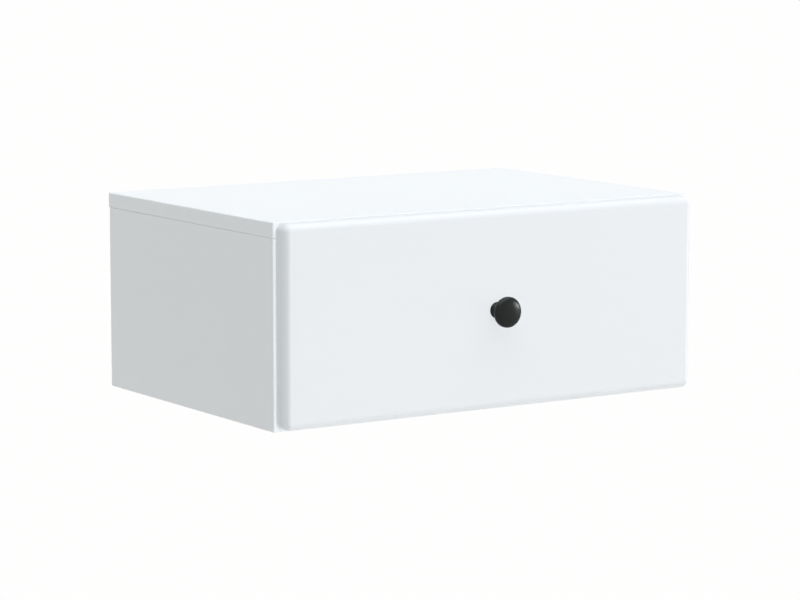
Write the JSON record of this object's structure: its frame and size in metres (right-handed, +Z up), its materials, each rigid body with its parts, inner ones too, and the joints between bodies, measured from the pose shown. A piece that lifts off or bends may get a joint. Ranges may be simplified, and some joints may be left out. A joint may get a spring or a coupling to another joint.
{
  "type": "floating nightstand",
  "caption": "White wall-hung bedside cabinet: a box carcase on a hanging rail, and a drawer with a rolled-edge front and a small black knob on ball-bearing runners.",
  "frame": {"origin": "centre of the wall rail's rear face, on the wall", "axes": "+X to the right as seen by someone facing the drawer front, +Y into the wall, +Z up; the drawer opens along -Y"},
  "size_m": [0.514, 0.387, 0.21],
  "materials": {
    "white_foil_board": "chipboard with smooth white foil, satin",
    "white_lacquer": "fibreboard slab, white foil rolled over its edges, satin",
    "white_drawer_board": "white foil wrapped drawer board, matt",
    "white_fibreboard": "thin fibreboard, painted white on the inside",
    "black_metal": "satin black coating",
    "zinc_plated_steel": "zinc plated sheet",
    "bright_steel": "bright zinc plating",
    "die_cast_zinc": "die-cast zinc, dull",
    "black_plastic": "moulded, fine grain"
  },
  "bodies": {
    "carcase": {"top_panel": "white_foil_board", "bottom_panel": "white_foil_board", "left_side_panel": "white_foil_board", "right_side_panel": "white_foil_board", "back_panel": "white_fibreboard", "hanging_batten": "white_foil_board", "wall_rail": "zinc_plated_steel", "cabinet_rail": "zinc_plated_steel", "rail_screw_left": "bright_steel", "rail_screw_right": "bright_steel", "cabinet_member_screw_left_front": "bright_steel", "cabinet_member_screw_left_rear": "bright_steel", "cabinet_member_screw_right_front": "bright_steel", "cabinet_member_screw_right_rear": "bright_steel", "cam_lock_top_left_front": "die_cast_zinc", "cam_lock_top_left_rear": "die_cast_zinc", "cam_lock_top_right_front": "die_cast_zinc", "cam_lock_top_right_rear": "die_cast_zinc", "cam_lock_bottom_left_front": "die_cast_zinc", "cam_lock_bottom_left_rear": "die_cast_zinc", "cam_lock_bottom_right_front": "die_cast_zinc", "cam_lock_bottom_right_rear": "die_cast_zinc", "cam_lock_batten_left": "die_cast_zinc", "cam_lock_batten_right": "die_cast_zinc", "cam_dowel_top_left_front": "bright_steel", "cam_dowel_top_left_rear": "bright_steel", "cam_dowel_top_right_front": "bright_steel", "cam_dowel_top_right_rear": "bright_steel", "cam_dowel_bottom_left_front": "bright_steel", "cam_dowel_bottom_left_rear": "bright_steel", "cam_dowel_bottom_right_front": "bright_steel", "cam_dowel_bottom_right_rear": "bright_steel", "cam_dowel_batten_left": "bright_steel", "cam_dowel_batten_right": "bright_steel", "runner_cabinet_member_left": "zinc_plated_steel", "runner_cabinet_member_right": "zinc_plated_steel"},
    "drawer": {"drawer_front": "white_lacquer", "drawer_box_left": "white_drawer_board", "drawer_box_right": "white_drawer_board", "drawer_box_front": "white_drawer_board", "drawer_box_rear": "white_drawer_board", "drawer_box_bottom": "white_fibreboard", "drawer_knob": "black_metal", "knob_screw": "bright_steel", "front_screw_left": "bright_steel", "front_screw_right": "bright_steel", "runner_drawer_member_left": "zinc_plated_steel", "runner_drawer_member_right": "zinc_plated_steel", "drawer_member_screw_left_front": "bright_steel", "drawer_member_screw_left_rear": "bright_steel", "drawer_member_screw_right_front": "bright_steel", "drawer_member_screw_right_rear": "bright_steel"},
    "intermediate_member_left": {"runner_intermediate_member_left": "zinc_plated_steel"},
    "outer_cage_left": {"runner_outer_cage_left": "bright_steel"},
    "inner_cage_left": {"runner_inner_cage_left": "bright_steel"},
    "intermediate_member_right": {"runner_intermediate_member_right": "zinc_plated_steel"},
    "outer_cage_right": {"runner_outer_cage_right": "bright_steel"},
    "inner_cage_right": {"runner_inner_cage_right": "bright_steel"},
    "release_lever_left": {"runner_release_lever_left": "black_plastic"},
    "release_lever_right": {"runner_release_lever_right": "black_plastic"}
  },
  "joints": [
    {"name": "drawer_slide", "type": "slide", "parent": "carcase", "child": "drawer", "axis": [0, -1, 0], "range_m": [0, 0.3]},
    {"name": "intermediate_member_left_slide", "type": "slide", "parent": "carcase", "child": "intermediate_member_left", "axis": [0, -1, 0], "range_m": [0, 0.15]},
    {"name": "outer_cage_left_slide", "type": "slide", "parent": "carcase", "child": "outer_cage_left", "axis": [0, -1, 0], "range_m": [0, 0.075]},
    {"name": "inner_cage_left_slide", "type": "slide", "parent": "carcase", "child": "inner_cage_left", "axis": [0, -1, 0], "range_m": [0, 0.225]},
    {"name": "intermediate_member_right_slide", "type": "slide", "parent": "carcase", "child": "intermediate_member_right", "axis": [0, -1, 0], "range_m": [0, 0.15]},
    {"name": "outer_cage_right_slide", "type": "slide", "parent": "carcase", "child": "outer_cage_right", "axis": [0, -1, 0], "range_m": [0, 0.075]},
    {"name": "inner_cage_right_slide", "type": "slide", "parent": "carcase", "child": "inner_cage_right", "axis": [0, -1, 0], "range_m": [0, 0.225]},
    {"name": "release_lever_left_hinge", "type": "hinge", "parent": "drawer", "child": "release_lever_left", "pos_m": [-0.2308, -0.188, -0.057], "axis": [1, 0, 0], "range_deg": [0, 7], "stiffness_Nm_per_rad": 0.05, "springref_deg": -5.73},
    {"name": "release_lever_right_hinge", "type": "hinge", "parent": "drawer", "child": "release_lever_right", "pos_m": [0.2308, -0.188, -0.057], "axis": [1, 0, 0], "range_deg": [-7, 0], "stiffness_Nm_per_rad": 0.05, "springref_deg": 5.73}
  ],
  "couplings": [
    {"joint": "intermediate_member_left_slide", "follows": "drawer_slide", "ratio": 0.5},
    {"joint": "outer_cage_left_slide", "follows": "drawer_slide", "ratio": 0.25},
    {"joint": "inner_cage_left_slide", "follows": "drawer_slide", "ratio": 0.75},
    {"joint": "intermediate_member_right_slide", "follows": "drawer_slide", "ratio": 0.5},
    {"joint": "outer_cage_right_slide", "follows": "drawer_slide", "ratio": 0.25},
    {"joint": "inner_cage_right_slide", "follows": "drawer_slide", "ratio": 0.75}
  ]
}
